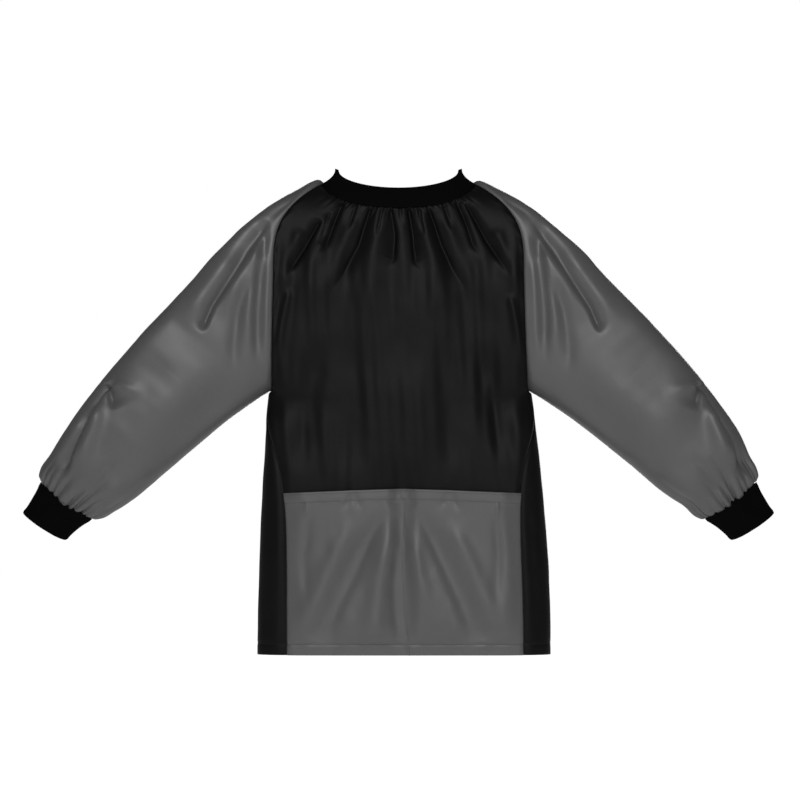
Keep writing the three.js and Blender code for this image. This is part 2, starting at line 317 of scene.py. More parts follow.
def frontBase():
    u = evenWithEnds(front["columns"], 0.35)
    edgeZ, low = [hemZ], hemZ
    for high, count in front["rows"]:
        edgeZ.extend(np.linspace(low, high, count)[1:])
        low = high
    edgeZ = np.array(edgeZ)
    v = 1 - edgeZ / hemZ
    s = 2 * u - 1
    edgeX = np.where(edgeZ < underarmZ, sideSeamX(edgeZ), raglanX(edgeZ))
    hem = np.stack([s * edgeX[0], np.full(u.shape, hemZ)], -1)
    dip = np.sqrt(np.clip(1 - s ** 2, 0, 1))
    neck = np.stack([s * neckHalf, -body["neckDrop"] * dip], -1)
    right = np.stack([edgeX, edgeZ], -1)
    left = right * np.array([-1, 1])
    flat = coons(hem, neck, left, right, u, v)
    x, z = flat[..., 0], flat[..., 1]
    # how deep the edge lies: on the body's section below the underarm, on the armhole above it
    edgeDepth = np.where(edgeZ < underarmZ, seamDepth(edgeZ), armholeDepth(edgeZ)) * -frontY
    middle = mix(-frontY, body["collarDepth"], smooth(0.8, 1, v)) + body["belly"] * np.sin(v * math.pi) ** 2
    power = mix(body["sectionPower"], 2, smooth(0.75, 1, v))
    crown = oval(s[:, None] * np.ones_like(x), power[None])
    y = -(edgeDepth[None] + (middle - edgeDepth)[None] * crown)
    return np.stack([x, y, z], -1), u, v


def frontFolds(x, z):
    # narrow valleys that run out of the collar, each one with a share of lean to a side
    valleys = [
        ([(-0.104, -0.050), (-0.126, -0.09), (-0.154, -0.132)], (0.003, 0.007), 0.0062, 0.5),
        ([(-0.092, -0.040), (-0.101, -0.070), (-0.112, -0.090)], (0.0025, 0.005), 0.0028, 0.3),
        ([(-0.073, -0.022), (-0.088, -0.06), (-0.098, -0.088), (-0.111, -0.100)],
         (0.003, 0.006), 0.0062, 0.3),
        ([(-0.056, -0.028), (-0.063, -0.050), (-0.068, -0.068)], (0.002, 0.004), 0.0030, 0.2),
        ([(-0.037, -0.030), (-0.054, -0.085), (-0.070, -0.115), (-0.092, -0.150)],
         (0.003, 0.009), 0.0062, -0.5),
        ([(-0.022, -0.034), (-0.026, -0.055), (-0.031, -0.075)], (0.002, 0.004), 0.0032, -0.2),
        ([(-0.010, -0.034), (-0.004, -0.070), (-0.006, -0.104), (-0.016, -0.117)],
         (0.003, 0.006), 0.0060, 0.6),
        ([(0.012, -0.034), (0.018, -0.070), (0.022, -0.108), (0.033, -0.122)], (0.003, 0.006), 0.0060, -0.6),
        ([(0.028, -0.034), (0.030, -0.055), (0.036, -0.075)], (0.002, 0.004), 0.0032, 0.2),
        ([(0.041, -0.033), (0.058, -0.085), (0.072, -0.115), (0.092, -0.150)], (0.003, 0.009), 0.0062, 0.5),
        ([(0.060, -0.028), (0.067, -0.050), (0.072, -0.068)], (0.002, 0.004), 0.0030, -0.2),
        ([(0.077, -0.022), (0.092, -0.060), (0.100, -0.085), (0.115, -0.103)], (0.003, 0.006), 0.0062, -0.3),
        ([(0.090, -0.027), (0.118, -0.080), (0.154, -0.132)], (0.003, 0.007), 0.0062, -0.5),
    ]
    f = np.zeros(x.shape)
    for path, width, depth, lean in valleys:
        f += stroke(x, z, path, width, -0.9 * depth, lean, 0.06, 0.40, 1.3)
        f += stroke(x, z, path, (0.010, 0.016), -0.25 * depth, 0, 0.10, 0.5)
    # raised folds between them
    ridges = [
        ([(-0.128, -0.06), (-0.150, -0.11), (-0.160, -0.16)], (0.008, 0.014), 0.0028),
        ([(-0.090, -0.04), (-0.116, -0.11), (-0.126, -0.19)], (0.007, 0.020), 0.0030),
        ([(-0.056, -0.04), (-0.080, -0.10), (-0.105, -0.17)], (0.007, 0.016), 0.0026),
        ([(-0.024, -0.04), (-0.034, -0.10), (-0.042, -0.20)], (0.007, 0.022), 0.0030),
        ([(0.001, -0.04), (0.008, -0.11), (0.006, -0.22)], (0.007, 0.024), 0.0030),
        ([(0.028, -0.04), (0.047, -0.10), (0.055, -0.20)], (0.007, 0.022), 0.0030),
        ([(0.058, -0.04), (0.082, -0.10), (0.108, -0.17)], (0.007, 0.016), 0.0026),
        ([(0.088, -0.04), (0.114, -0.11), (0.128, -0.19)], (0.007, 0.020), 0.0030),
        ([(0.125, -0.06), (0.150, -0.11), (0.160, -0.16)], (0.008, 0.014), 0.0028),
        ([(-0.145, -0.14), (-0.157, -0.19), (-0.167, -0.25)], (0.005, 0.008), 0.0026),
        ([(0.148, -0.148), (0.160, -0.20), (0.170, -0.25)], (0.005, 0.008), 0.0026),
    ]
    f += allFolds(x, z, ridges)
    # the broad soft hollows down the panel
    broad = [
        ([(-0.105, -0.20), (-0.125, -0.30), (-0.138, -0.40)], (0.020, 0.016), -0.0062),
        ([(0.109, -0.21), (0.128, -0.30), (0.143, -0.385)], (0.020, 0.016), -0.0062),
        ([(-0.055, -0.19), (-0.062, -0.30), (-0.070, -0.40)], (0.024, 0.020), -0.0042),
        ([(0.055, -0.19), (0.064, -0.30), (0.066, -0.40)], (0.024, 0.020), -0.0042),
        ([(0.0, -0.23), (0.004, -0.32), (0.0, -0.42)], (0.030, 0.035), 0.0030),
    ]
    for path, width, height in broad:
        f += stroke(x, z, path, width, height, 0, 0.3, 0.3)
    return f


def gathers(u, distance, seed, count, depth, reach):
    # narrow valleys where cloth is gathered into a seam: u runs along the seam, distance away from it
    draw = np.random.default_rng(seed)
    distance = np.maximum(distance, 0)
    total = np.zeros(distance.shape)
    for i in range(count):
        middle = (i + 0.5 + draw.uniform(-0.35, 0.35)) / count
        wide = draw.uniform(0.12, 0.24) / count
        long = reach * draw.uniform(0.35, 1.6)
        deep = depth * draw.uniform(0.5, 1.4)
        drift = draw.uniform(-0.25, 0.25) / count
        spread = wide * (1 + 1.2 * distance / reach)
        away = np.abs(u - middle - drift * distance / reach)
        away = np.minimum(away, np.abs(1 - away))
        total -= deep * np.exp(-(away / spread) ** 1.4) * np.exp(-(distance / long) ** 1.6)
    return total


def makeFront():
    points, u, v = frontBase()
    x, z = points[..., 0].copy(), points[..., 2].copy()
    across = lengthsAcross(points)
    along = lengthsAlong(points)
    fromTop = along[:, -1:] - along
    fromSide = np.minimum(across, across[-1:] - across)
    height = frontFolds(x, z)
    share = u[:, None] * np.ones_like(x)
    height += gathers(share, fromTop, 11, front["gathers"], front["gatherDepth"], front["gatherReach"])
    height *= smooth(0, 0.004, fromTop)
    height += 0.0012 * np.exp(-((fromTop - 0.012) / 0.010) ** 2)
    # long soft folds that hang from the gathers
    hang = smooth(0.03, 0.14, fromTop)
    height += front["hang"] * waves(x * (1 + 0.5 * (z + 0.3)), z, 3, 0.075, 9.0) * hang
    height += 0.00035 * waves(x, z, 4, 0.022, 9.0, 0.03) * hang
    height += front["crumple"] * waves(x, z, 5, 0.020, 2.5, 0.2)
    height *= smooth(pocketTopZ - 0.05, pocketTopZ - 0.005, z)
    height *= smooth(0, 0.014, fromSide)
    # small puckers along the side seams
    pucker = np.sin(along / 0.0042 + 2 * np.sin(along / 0.03))
    height += front["pucker"] * pucker * np.exp(-(fromSide / 0.006) ** 2) * smooth(0, 0.002, fromSide)
    height += seamDip(fromSide)
    points = lift(points, height, fromSide)
    points[..., 1] += 0.0035 * np.exp(-(fromTop / 0.003) ** 2)
    points[..., 0] += hemDrift(points[..., 2])
    return points


# sleeves
sleeve = {
    "rings": 190, "around": 250,
    # outwards and up from the middle of the neck, along the upper edge and the underside
    "topMiddle": [(0.130, -0.004), (0.161, -0.021), (0.206, -0.056), (0.269, -0.121), (0.332, -0.185),
                  (0.391, -0.250), (0.441, -0.314), (0.474, -0.368)],
    "bottomMiddle": [(0.223, -0.314), (0.302, -0.378), (0.380, -0.440)],
    "wristTop": (0.4875, -0.400), "wristBottom": (0.414, -0.456),
    "wristDepth": 0.023, "puff": 0.006,
    "gathers": 24, "gatherDepth": 0.0056, "gatherReach": 0.040,
    "hang": 0.0009, "crumple": 0.00010,
}


# what makes one sleeve hang unlike the other: seed, how far its folds are shifted outwards (at the
# shoulder and at the elbow) and up (the same), how far its middle sways outwards and up, and how high
# it stands up beside the collar
sleeveSides = {
    True: {
        "seed": 51, "shift": (0.007, 0.016, -0.002, 0.000), "sway": (0.0034, 0.0030), "stand": 0.0050,
    },
    False: {"seed": 61, "shift": (0, 0, 0, 0), "sway": (-0.0018, -0.0020), "stand": 0.0065},
}


def throughPoints(points, shares):
    # a smooth curve through a few points, at these shares of its length
    p = np.array(points, float)
    t = np.concatenate([[0], np.cumsum(np.linalg.norm(np.diff(p, axis=0), axis=1))])
    fine = np.linspace(0, t[-1], 400)
    slope = np.gradient(p, t, axis=0)
    out = np.zeros((len(fine), p.shape[1]))
    for i in range(len(t) - 1):
        here = (fine >= t[i]) & (fine <= t[i + 1])
        h = t[i + 1] - t[i]
        s = ((fine[here] - t[i]) / h)[:, None]
        out[here] = ((2 * s ** 3 - 3 * s ** 2 + 1) * p[i] + (s ** 3 - 2 * s ** 2 + s) * h * slope[i]
                     + (-2 * s ** 3 + 3 * s ** 2) * p[i + 1] + (s ** 3 - s ** 2) * h * slope[i + 1])
    for _ in range(600):
        out[1:-1] = (out[:-2] + 2 * out[1:-1] + out[2:]) / 4
    run = np.concatenate([[0], np.cumsum(np.linalg.norm(np.diff(out, axis=0), axis=1))])
    return np.stack([np.interp(shares * run[-1], run, out[:, k]) for k in range(p.shape[1])], -1)


def sleeveBase():
    rings, around = sleeve["rings"], sleeve["around"]
    # rings lie closer together towards the cuff, and lines closer together on the front and the back
    v = np.linspace(0, 1, rings)
    v = 1 - (1 - v) ** 1.25
    turn = np.linspace(0, 2 * math.pi, around, endpoint=False)
    turn = turn + 0.28 * np.sin(2 * turn)
    drop = (1 - np.cos(turn)) / 2                     # 0 on the upper edge, 1 on the underside
    side = -np.sign(np.sin(turn))                     # -1 is the front
    side[0] = 0
    top = throughPoints([(neckHalf, 0.0)] + sleeve["topMiddle"] + [sleeve["wristTop"]], v)
    underarm = (body["seamHalfAtChest"], underarmZ)
    bottom = throughPoints([underarm] + sleeve["bottomMiddle"] + [sleeve["wristBottom"]], v)
    seamZ = drop * underarmZ
    seam = np.stack([raglanX(seamZ), seamZ], -1)
    wristTop, wristBottom = np.array(sleeve["wristTop"]), np.array(sleeve["wristBottom"])
    wrist = mix(wristTop, wristBottom, drop[:, None])
    wrist = wrist + 0.006 * np.sin(drop * math.pi)[:, None] * np.array([0.57, -0.82])
    d = drop[:, None, None]
    w = v[None, :, None]
    ruled = (1 - w) * seam[:, None] + w * wrist[:, None] + (1 - d) * top[None] + d * bottom[None]
    corners = (1 - d) * (1 - w) * top[0] + d * (1 - w) * bottom[0]
    corners = corners + (1 - d) * w * top[-1] + d * w * bottom[-1]
    flat = ruled - corners
    power = mix(body["ringPower"], 2.0, v)
    shape = oval(np.cos(turn)[:, None] * np.ones((1, rings)), power[None])
    closing = smooth(0.80, 1.0, v) ** 1.3
    full = mix(1.0, 0.93, v) + sleeve["puff"] / 0.045 * np.sin(np.clip(v * 1.08, 0, 1) * math.pi)
    frontDepth = mix(-frontY * full, sleeve["wristDepth"], closing)
    backDepth = mix(leftBackY * full, sleeve["wristDepth"], closing)
    depth = np.where(side[:, None] < 0, frontDepth[None], backDepth[None])
    y = side[:, None] * depth * shape
    return np.stack([flat[..., 0], y, flat[..., 1]], -1), turn, drop, v


def sleeveFolds(x, z):
    # the folds on the front of the sleeve, x counted outwards from the middle of the smock
    folds = [
        # the long drag line from the neck point, with the full cloth on both sides of it
        ([(0.174, -0.048), (0.197, -0.086), (0.223, -0.126), (0.250, -0.167), (0.265, -0.203)],
         (0.0095, 0.0060), -0.0088, -0.45, 0.12, 0.10, 1.7),
        ([(0.208, -0.086), (0.240, -0.125), (0.268, -0.160), (0.290, -0.200)],
         (0.014, 0.020), 0.0055, 0, 0.3, 0.4),
        ([(0.184, -0.075), (0.212, -0.130), (0.240, -0.190)], (0.008, 0.014), 0.0050, 0, 0.2, 0.4),
        # upright folds beside the raglan seam
        ([(0.177, -0.060), (0.186, -0.110), (0.190, -0.170), (0.190, -0.250)],
         (0.006, 0.009), -0.0044, 0.3, 0.1, 0.3),
        ([(0.183, -0.090), (0.198, -0.135), (0.204, -0.180), (0.203, -0.250)],
         (0.008, 0.011), 0.0038, 0, 0.1, 0.4),
        ([(0.200, -0.125), (0.214, -0.170), (0.221, -0.220), (0.220, -0.265)],
         (0.008, 0.010), -0.0036, 0, 0.2, 0.3, 1.8),
        ([(0.172, -0.09), (0.177, -0.160), (0.180, -0.250)], (0.005, 0.006), 0.0022, 0, 0.2, 0.3),
        # the elbow
        ([(0.3935, -0.2705), (0.408, -0.293), (0.426, -0.325), (0.444, -0.365), (0.456, -0.400)],
         (0.006, 0.011), -0.0110, -0.45, 0.02, 0.2, 1.5),
        ([(0.3935, -0.2705), (0.388, -0.288), (0.382, -0.308)],
         (0.005, 0.010), -0.0075, 0.55, 0.02, 0.4, 1.5),
        ([(0.400, -0.292), (0.408, -0.322), (0.422, -0.355), (0.434, -0.388)],
         (0.008, 0.015), 0.0080, 0, 0.25, 0.35),
        ([(0.386, -0.268), (0.362, -0.278), (0.335, -0.284)], (0.005, 0.012), 0.0030, 0, 0.2, 0.6),
        ([(0.424, -0.304), (0.446, -0.342), (0.466, -0.385)], (0.007, 0.010), 0.0055, 0, 0.3, 0.3),
        # broad folds across the arm
        ([(0.300, -0.165), (0.345, -0.215), (0.385, -0.258)], (0.020, 0.014), 0.0022, 0, 0.3, 0.3),
        ([(0.250, -0.225), (0.285, -0.275), (0.335, -0.325), (0.385, -0.375)],
         (0.036, 0.036), 0.0040, 0, 0.4, 0.4),
        ([(0.300, -0.235), (0.335, -0.275), (0.365, -0.310)], (0.022, 0.024), -0.0012, 0, 0.4, 0.4),
        ([(0.212, -0.240), (0.242, -0.290), (0.290, -0.330), (0.330, -0.372)],
         (0.020, 0.022), -0.0042, 0, 0.4, 0.4),
        ([(0.330, -0.380), (0.370, -0.408), (0.405, -0.430)], (0.012, 0.012), 0.0030, 0, 0.3, 0.3),
        ([(0.375, -0.365), (0.400, -0.392), (0.420, -0.420)], (0.008, 0.008), -0.0026, 0, 0.3, 0.2),
        # over the shoulder
        ([(0.130, -0.018), (0.160, -0.036), (0.180, -0.056)], (0.004, 0.006), -0.0022, 0, 0.2, 0.4, 1.6),
    ]
    return allFolds(x, z, folds)


def makeSleeve(mirror, seed, shift, sway, stand):
    points, turn, drop, v = sleeveBase()
    hang = (smooth(0.0, 0.65, v) * (1 - smooth(0.86, 1, v)))[None]
    points[..., 0] += sway[0] * hang
    points[..., 2] += sway[1] * hang
    x, z = points[..., 0].copy(), points[..., 2].copy()
    along = lengthsAlong(points)
    fromSeam, fromCuff = along, along[:, -1:] - along
    isFront = smooth(-0.2, 0.35, np.sin(turn))[:, None]
    low = smooth(0.28, 0.37, x)
    height = sleeveFolds(x - mix(shift[0], shift[1], low), z - mix(shift[2], shift[3], low)) * isFront
    height += sleeveFolds(x + 0.012, z - 0.01) * (1 - isFront) * 0.7
    # the outline stays calm, and so does the cloth where it is sewn down
    edge = np.minimum(drop, 1 - drop)[:, None]
    calm = mix(0.10, 1, smooth(0.0, 0.12, edge))
    height *= calm * smooth(0, 0.012, fromSeam) * smooth(0, 0.01, fromCuff)
    slope = 0.85
    height += sleeve["hang"] * waves(x, z, seed, 0.090, 3.0, -slope) * calm * smooth(0, 0.04, fromSeam)
    height += sleeve["crumple"] * waves(x, z, seed + 1, 0.026, 2.5, -slope) * smooth(0, 0.01, fromSeam)
    around = turn[:, None] / (2 * math.pi) * np.ones_like(x)
    depth, reach = sleeve["gatherDepth"], sleeve["gatherReach"]
    height += gathers(around, fromCuff, seed + 2, sleeve["gathers"], depth, reach)
    height += 0.0035 * np.exp(-((fromCuff - 0.016) / 0.014) ** 2)
    height += seamDip(fromSeam) - 0.004 * np.exp(-(fromCuff / 0.003) ** 2)
    # the seam under the arm
    fromUnderarm = np.abs(turn[:, None] - math.pi) * 0.03 * np.ones_like(x)
    height += seamDip(fromUnderarm, 0.0012, 0.003) * smooth(0, 0.02, fromSeam)
    points = lift(points, height, fromSeam, closed=True)
    beside = np.exp(-((points[..., 0] - 0.110) / 0.020) ** 2) * (1 - smooth(0.0, 0.16, drop))[:, None]
    points[..., 2] += stand * beside * smooth(0, 0.005, fromSeam)
    if mirror:
        points = points[::-1] * np.array([-1, 1, 1])
    hold = 1 - smooth(0.175, 0.30, np.abs(points[..., 0]))
    points[..., 0] += hemDrift(points[..., 2]) * hold
    return points


# back panels
back = {
    "columns": 220, "rows": 210, "levels": 160, "samples": 200,
    "gathers": 20, "edgeHem": 0.012, "hang": 0.0016, "crumple": 0.00012,
}


def backSections():
    # for each height, the cloth's line from the middle of the back round to its seam
    levels = np.linspace(hemZ, 0, back["levels"])
    t = np.linspace(0, 1, back["samples"])
    lines = np.zeros((back["levels"], back["samples"], 2))
    lengths = np.zeros(back["levels"])
    for i, z in enumerate(levels):
        if z < underarmZ:
            last = math.pi / 2 + math.asin(seamDepth(z) ** (body["sectionPower"] / 2))
            angle = t * last
            x = bodyHalf(z) * np.abs(np.sin(angle)) ** (2 / body["sectionPower"])
            deep = np.where(np.cos(angle) > 0, leftBackY, -frontY)
            y = deep * np.sign(np.cos(angle)) * np.abs(np.cos(angle)) ** (2 / body["sectionPower"])
        else:
            edge = armholeDepth(z) * leftBackY
            power = mix(2.4, body["sectionPower"], smooth(0, underarmZ, z))
            x = raglanX(z) * np.sin(t * math.pi / 2) ** (2 / power)
            y = edge + (leftBackY - edge) * np.cos(t * math.pi / 2) ** (2 / power)
        line = np.stack([x, y], -1)
        run = np.concatenate([[0], np.cumsum(np.linalg.norm(np.diff(line, axis=0), axis=1))])
        even = np.linspace(0, run[-1], back["samples"])
        lines[i] = np.stack([np.interp(even, run, line[:, k]) for k in range(2)], -1)
        lengths[i] = run[-1]
    return levels, lines, lengths


def makeBack(mirror, depth, seed):
    levels, lines, lengths = backSections()
    u = evenWithEnds(back["columns"], 0.3)
    v = evenWithEnds(back["rows"], 0.15)
    z = mix(hemZ, 0, v)
    outer = np.stack([np.interp(z, levels, lengths), z], -1)
    neckZ = -body["neckDrop"]
    inner = np.stack([np.full(v.shape, -overlapX), mix(hemZ, neckZ, v)], -1)
    hem = np.stack([mix(-overlapX, outer[0, 0], u), np.full(u.shape, hemZ)], -1)
    angle = mix(math.pi / 2, 0, u)
    neck = np.stack([mix(-overlapX, outer[-1, 0], u), neckZ * np.sin(angle)], -1)
    flat = coons(hem, neck, inner, outer, u, v)
    q, z = flat[..., 0], np.clip(flat[..., 1], hemZ, 0)
    level = np.clip((z - hemZ) / -hemZ * (back["levels"] - 1), 0, back["levels"] - 1.001)
    girth = np.interp(z, levels, lengths)
    sample = np.clip(q / girth, 0, 1) * (back["samples"] - 1)
    sample = np.clip(sample, 0, back["samples"] - 1.001)
    i, j = level.astype(int), sample.astype(int)
    fi, fj = (level - i)[..., None], (sample - j)[..., None]
    low = mix(lines[i, j], lines[i, j + 1], fj)
    high = mix(lines[i + 1, j], lines[i + 1, j + 1], fj)
    place = mix(low, high, fi)
    x = place[..., 0] + np.minimum(q, 0)
    # the flap that lies on top steps out over the other one and its tapes
    y = place[..., 1] + (depth - leftBackY) * (1 - smooth(0.032, 0.075, x))
    points = np.stack([x, y, z], -1)
    # u runs from the middle outwards, so the outer face needs the other order
    points = points[::-1]
    across, along = lengthsAcross(points), lengthsAlong(points)
    fromTop = along[:, -1:] - along
    fromSeam, fromEdge = across, across[-1:] - across
    px, pz = points[..., 0], points[..., 2]
    folds = [
        ([(0.085, -0.022), (0.110, -0.08), (0.150, -0.135)], (0.005, 0.010), -0.0050, 0.3, 0.06, 0.45, 1.3),
        ([(0.068, -0.026), (0.088, -0.09), (0.098, -0.16)], (0.004, 0.010), -0.0050, 0.3, 0.06, 0.45, 1.3),
        ([(0.050, -0.030), (0.060, -0.09), (0.066, -0.14)], (0.004, 0.008), -0.0040, -0.3, 0.06, 0.45, 1.3),
        ([(0.076, -0.03), (0.102, -0.11), (0.116, -0.22)], (0.007, 0.018), 0.0035, 0, 0.15, 0.35),
        ([(0.058, -0.035), (0.074, -0.12), (0.080, -0.26)], (0.007, 0.020), 0.0030, 0, 0.15, 0.35),
        ([(0.115, -0.20), (0.13, -0.34), (0.140, -0.50)], (0.018, 0.022), -0.0050, 0, 0.3, 0.3),
        ([(0.080, -0.26), (0.088, -0.40), (0.09, -0.58)], (0.020, 0.024), 0.0045, 0, 0.3, 0.2),
        ([(0.055, -0.24), (0.058, -0.40), (0.056, -0.58)], (0.012, 0.016), -0.0035, 0, 0.3, 0.2),
    ]
    height = allFolds(px, pz, folds)
    share = u[::-1, None] * np.ones_like(px)
    height += gathers(share, fromTop, seed, back["gathers"], front["gatherDepth"], front["gatherReach"])
    height += back["hang"] * waves(px, pz, seed + 1, 0.070, 9.0) * smooth(0.03, 0.14, fromTop)
    height += 0.0003 * waves(px, pz, seed + 3, 0.022, 9.0) * smooth(0.03, 0.10, fromTop)
    height += back["crumple"] * waves(px, pz, seed + 2, 0.022, 2.5)
    height *= smooth(0.030, 0.065, fromEdge + 0 * px) * smooth(0, 0.014, fromSeam)
    height += seamDip(fromSeam)
    # the turned hems down the edge and along the bottom
    height -= 0.0007 * np.exp(-((fromEdge - back["edgeHem"]) / 0.0016) ** 2)
    height -= 0.0007 * np.exp(-((along - front["hem"]) / 0.0016) ** 2)
    points = lift(points, height, fromSeam)
    points[..., 1] -= 0.0035 * np.exp(-(fromTop / 0.003) ** 2)
    if mirror:
        points = points[::-1] * np.array([-1, 1, 1])
    points[..., 0] += hemDrift(points[..., 2])
    return points


# pocket
pocket = {
    "columns": 170, "rows": 130,
    "stand": 0.0060,          # how far the cloth stands off the front panel
    "mouth": 0.0015,          # and how much further at the mouth
    "peak": 0.006,            # the mouth rises in the middle
    "topHem": 0.016, "bottomHem": 0.015,
    "fadeIn": 0.35,           # share of each fold over which it rises
    "hang": 0.0007, "crumple": 0.00012,
}


def sampleGrid(points, a, b):
    # a and b count along the grid's two directions, from 0 to 1
    i = np.clip(a * (points.shape[0] - 1), 0, points.shape[0] - 1.001)
    j = np.clip(b * (points.shape[1] - 1), 0, points.shape[1] - 1.001)
    i0, j0 = i.astype(int), j.astype(int)
    fi, fj = (i - i0)[..., None], (j - j0)[..., None]
    low = mix(points[i0, j0], points[i0, j0 + 1], fj)
    high = mix(points[i0 + 1, j0], points[i0 + 1, j0 + 1], fj)
    return mix(low, high, fi)


def pocketFolds(x, z):
    folds = [
        # long folds that spread from the middle of the mouth down to the hem
        ([(-0.014, -0.430), (-0.056, -0.509), (-0.088, -0.575), (-0.106, -0.628)],
         (0.008, 0.019), -0.0062, 0.15, 0.12),
        ([(0.020, -0.430), (0.052, -0.491), (0.087, -0.563), (0.112, -0.626)],
         (0.008, 0.019), -0.0062, -0.15, 0.12),
        ([(-0.006, -0.445), (-0.026, -0.530), (-0.036, -0.628)], (0.009, 0.021), 0.0062, 0, 0.12),
        ([(0.012, -0.445), (0.026, -0.530), (0.050, -0.600)], (0.007, 0.017), 0.0048, 0, 0.4),
        ([(0.000, -0.480), (-0.006, -0.540), (-0.004, -0.620)], (0.006, 0.013), -0.0040, 0, 0.3),
        ([(0.004, -0.440), (0.005, -0.470), (0.010, -0.500)], (0.0035, 0.006), -0.0035, 0.3, 0.5, 1.4),
        ([(-0.055, -0.440), (-0.092, -0.520), (-0.128, -0.610)], (0.012, 0.018), 0.0048, 0, 0.3),
        ([(0.062, -0.440), (0.098, -0.520), (0.132, -0.610)], (0.012, 0.018), 0.0048, 0, 0.3),
        ([(-0.118, -0.430), (-0.126, -0.500), (-0.122, -0.590)], (0.006, 0.010), -0.0030, 0, 0.5, 1.8),
        ([(0.128, -0.430), (0.134, -0.500), (0.130, -0.590)], (0.006, 0.010), -0.0030, 0, 0.5, 1.8),
        # puckers at the mouth
        ([(-0.062, -0.412), (-0.067, -0.428), (-0.078, -0.446)], (0.003, 0.006), -0.0022, 0, 0.7, 1.7),
        ([(-0.060, -0.412), (-0.056, -0.428), (-0.048, -0.446)], (0.003, 0.006), -0.0020, 0, 0.7, 1.7),
        ([(0.067, -0.412), (0.062, -0.428), (0.053, -0.446)], (0.003, 0.006), -0.0020, 0, 0.7, 1.7),
        ([(0.068, -0.412), (0.074, -0.428), (0.084, -0.446)], (0.003, 0.006), -0.0022, 0, 0.7, 1.7),
        ([(0.004, -0.412), (-0.006, -0.424), (-0.018, -0.438)], (0.004, 0.008), -0.0024, 0, 0.5, 1.7),
        ([(0.006, -0.412), (0.016, -0.424), (0.028, -0.438)], (0.004, 0.008), -0.0024, 0, 0.5, 1.7),
        ([(-0.122, -0.425), (-0.123, -0.440), (-0.123, -0.458)], (0.0025, 0.004), 0.0016, 0, 0.5, 1.6),
        ([(0.132, -0.425), (0.132, -0.440), (0.131, -0.458)], (0.0025, 0.004), 0.0016, 0, 0.5, 1.6),
    ]
    f = np.zeros(x.shape)
    for path, width, height, skew, fadeOut, *power in folds:
        f += stroke(x, z, path, width, height, skew, pocket["fadeIn"], fadeOut, *power)
    return f


def makePocket(frontPoints):
    # the pocket lies on the front panel: find each of its points there, then lift it off
    u = evenWithEnds(pocket["columns"], 0.2)
    v = evenWithEnds(pocket["rows"], 0.1)
    calm = frontBase()[0]
    calm[..., 0] += hemDrift(calm[..., 2])
    normal = gridNormals(calm)
    topZ = pocketTopZ - pocket["peak"] * np.abs(2 * u - 1) ** 1.3
    z = mix(hemZ, topZ[:, None], v[None])
    column = np.interp(u, evenWithEnds(front["columns"], 0.35), np.linspace(0, 1, front["columns"]))
    a = column[:, None] * np.ones((1, len(v)))
    shares = np.linspace(0, 1, calm.shape[1])
    everyColumn, everyShare = np.meshgrid(column, shares, indexing="ij")
    columnZ = sampleGrid(calm, everyColumn, everyShare)[..., 2]
    b = np.stack([np.interp(z[k], columnZ[k], shares) for k in range(len(u))])
    points = sampleGrid(calm, a, b)
    out = sampleGrid(normal, a, b)
    out /= np.linalg.norm(out, axis=2, keepdims=True)
    across, along = lengthsAcross(points), lengthsAlong(points)
    fromSide = np.minimum(across, across[-1:] - across)
    fromTop = along[:, -1:] - along
    middle = np.abs(across - across[-1:] / 2)
    x, pz = points[..., 0], points[..., 2]
    sewn = smooth(0, 0.03, fromSide) * smooth(0, 0.022, middle) * smooth(0, 0.05, along)
    mouth = np.exp(-(fromTop / 0.05) ** 2)
    height = 0.0012 + sewn * (pocket["stand"] + pocket["mouth"] * mouth)
    height += pocketFolds(x, pz) * smooth(0, 0.012, fromSide) * smooth(0, 0.02, along)
    height += pocket["hang"] * waves(x, pz, 21, 0.08, 1.6) * smooth(0, 0.02, fromSide)
    height += pocket["crumple"] * waves(x, pz, 22, 0.022, 1.8)
    # the turned hem at the mouth, its two rows of stitching, the middle seam and the hem
    height += 0.0007 * (1 - smooth(pocket["topHem"] - 0.001, pocket["topHem"] + 0.001, fromTop))
    rows = np.exp(-((fromTop - pocket["topHem"] + 0.002) / 0.0016) ** 2)
    height -= 0.0006 * rows * (1 + 0.5 * np.sin(across / 0.0035))
    height -= 0.0012 * np.exp(-(middle / 0.0022) ** 2) * (1 + 0.4 * np.sin(along / 0.004))
    hemSeam = np.exp(-((along - pocket["bottomHem"]) / 0.0018) ** 2)
    height -= 0.0008 * hemSeam * (1 + 0.6 * np.sin(across / 0.0045))
    hemPucker = np.sin(across / 0.0052 + np.sin(across / 0.02))
    height += 0.0004 * hemPucker * np.exp(-((along - 0.012) / 0.012) ** 2)
    height -= 0.0009 * np.exp(-(fromSide / 0.003) ** 2)
    # it never goes through the panel behind it
    under = ((sampleGrid(frontPoints, a, b) - points) * out).sum(2)
    least = under + 0.0013
    height = least + np.logaddexp(0, (height - least) / 0.0012) * 0.0012
    return points + out * height[..., None]


# rib bands
rib = {"pitch": 0.0019, "height": 0.0005, "thick": 0.0024, "columns": 5}


def ribHeight(run):
    # rounded ribs with narrow grooves, counted along the band in metres
    wave = np.abs(np.sin(run / rib["pitch"] * math.pi))
    return rib["height"] * (wave ** 0.6 - 1)


collar = {
    "rows": 20,
    "topHalf": 0.079, "topDrop": 0.024,
    "lean": 0.0022,           # how round the band is from edge to edge
    "hollow": 0.0025,         # how far it curves in at the neck points
    "cover": 0.0034,          # how far it comes down over the gathered cloth
    "topStep": 0.005,         # the upper edge lies this far inside the lower one
    "knob": 0.0036,           # extra thickness at the neck points
}


